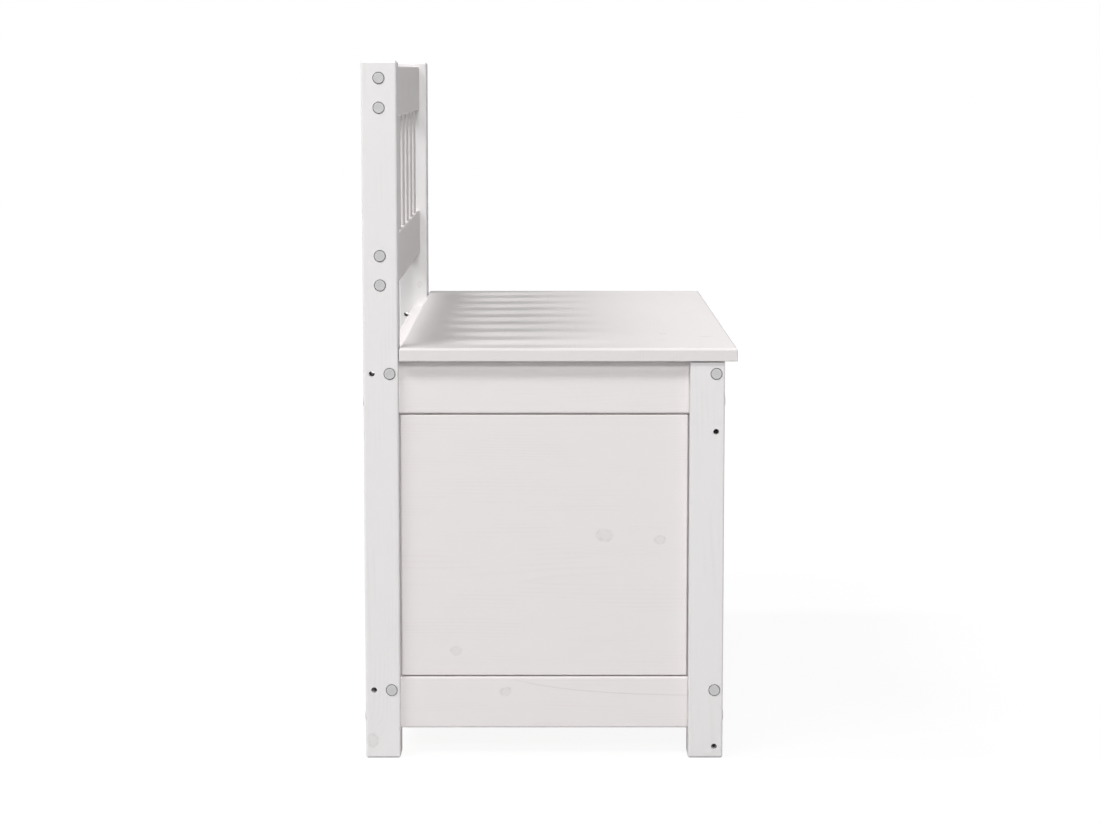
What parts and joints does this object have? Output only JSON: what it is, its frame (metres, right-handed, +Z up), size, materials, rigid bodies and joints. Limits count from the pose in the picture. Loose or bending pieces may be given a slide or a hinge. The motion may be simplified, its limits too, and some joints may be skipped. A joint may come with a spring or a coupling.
{
  "type": "storage bench",
  "caption": "Painted wooden bench with a slatted back and a closed frame-and-panel base, whose seat board lifts as the lid of the chest below.",
  "frame": {"origin": "on the floor, in the middle of the outer box", "axes": "+X along the bench to the sitter's left, -Y out of the front where people sit down, +Z up"},
  "size_m": [0.8, 0.4114, 0.77],
  "materials": {
    "painted_post": "white paint on pine, satin",
    "painted_rail": "white paint on pine, satin",
    "painted_slat": "white paint on pine, satin",
    "painted_panel": "white paint on pine, satin",
    "painted_seat": "white paint on pine, satin",
    "bare_pine": "planed, uncoated",
    "beech_dowel": "fluted, uncoated",
    "grey_plastic": "satin",
    "felt": "pressed felt",
    "hinge_steel": "zinc plated",
    "zinc_steel": "zinc plated"
  },
  "bodies": {
    "frame": {"rear_post_left": "painted_post", "rear_post_right": "painted_post", "front_leg_left": "painted_post", "front_leg_right": "painted_post", "side_rail_top_left": "painted_rail", "side_rail_top_right": "painted_rail", "side_rail_bottom_left": "painted_rail", "side_rail_bottom_right": "painted_rail", "side_panel_left": "painted_panel", "side_panel_right": "painted_panel", "front_rail_top": "painted_rail", "front_rail_bottom": "painted_rail", "front_panel": "painted_panel", "rear_rail_top": "painted_rail", "rear_rail_bottom": "painted_rail", "rear_panel": "painted_panel", "back_rail_top": "painted_rail", "back_rail_bottom": "painted_rail", "back_slat_1": "painted_slat", "back_slat_2": "painted_slat", "back_slat_3": "painted_slat", "back_slat_4": "painted_slat", "back_slat_5": "painted_slat", "back_slat_6": "painted_slat", "back_slat_7": "painted_slat", "floor_board": "bare_pine", "floor_cleat_front": "bare_pine", "floor_cleat_rear": "bare_pine", "floor_cleat_left": "bare_pine", "floor_cleat_right": "bare_pine", "lid_pads": "felt", "hinge_frame_leaves": "hinge_steel", "hinge_pins": "hinge_steel", "base_cross_bolts": "zinc_steel", "base_side_bolts": "zinc_steel", "backrest_bolts": "zinc_steel", "bolt_caps": "grey_plastic", "barrel_nuts": "zinc_steel", "frame_dowels": "beech_dowel", "floor_cleat_screws": "zinc_steel", "hinge_frame_screws": "zinc_steel"},
    "lid": {"seat_lid": "painted_seat", "seat_batten_left": "bare_pine", "seat_batten_right": "bare_pine", "seat_batten_screws": "zinc_steel", "hinge_lid_leaves": "hinge_steel", "hinge_lid_screws": "zinc_steel"}
  },
  "joints": [
    {"name": "lid_hinge", "type": "hinge", "parent": "frame", "child": "lid", "pos_m": [0, 0.15985, 0.454], "axis": [-1, 0, 0], "range_deg": [0, 90]}
  ]
}
